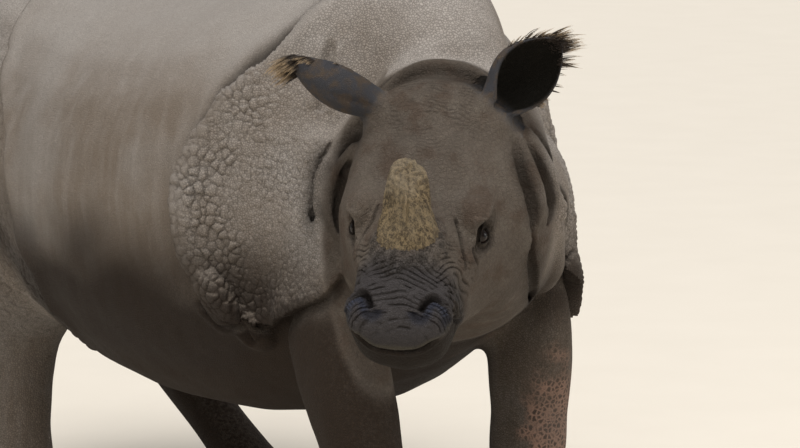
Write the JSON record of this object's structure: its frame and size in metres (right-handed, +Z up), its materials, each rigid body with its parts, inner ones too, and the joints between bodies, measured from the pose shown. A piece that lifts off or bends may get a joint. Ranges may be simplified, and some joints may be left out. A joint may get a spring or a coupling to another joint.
{
  "type": "greater one-horned rhinoceros",
  "caption": "Life-size standing museum model of an adult greater one-horned rhinoceros, head low and turned to its right, one forefoot forward.",
  "frame": {"origin": "on the floor under the middle of the box round the animal", "axes": "+Z up, the trunk lies along Y with the head end towards -Y, +X is the animal's left"},
  "size_m": [1.2726, 2.9682, 1.6637],
  "materials": {
    "hide": "matte, folded and knobbly grey-brown hide",
    "horn": "worn fibrous ochre horn",
    "nail": "dull dark horny nail",
    "eye": "wet glossy dark brown",
    "hair": "coarse dark to fair bristle hair"
  },
  "bodies": {
    "root": {"head": "hide", "neck": "hide", "trunk": "hide", "tail": "hide", "foreleg_right": "hide", "foreleg_left": "hide", "hindleg_right": "hide", "hindleg_left": "hide", "forefoot_right": "hide", "forefoot_left": "hide", "hindfoot_right": "hide", "hindfoot_left": "hide", "ear_right": "hide", "ear_left": "hide", "eye_right": "eye", "eye_left": "eye", "horn": "horn", "foreleg_right_nail_inner": "nail", "foreleg_right_nail_middle": "nail", "foreleg_right_nail_outer": "nail", "foreleg_left_nail_inner": "nail", "foreleg_left_nail_middle": "nail", "foreleg_left_nail_outer": "nail", "hindleg_right_nail_inner": "nail", "hindleg_right_nail_middle": "nail", "hindleg_right_nail_outer": "nail", "hindleg_left_nail_inner": "nail", "hindleg_left_nail_middle": "nail", "hindleg_left_nail_outer": "nail"}
  },
  "joints": []
}
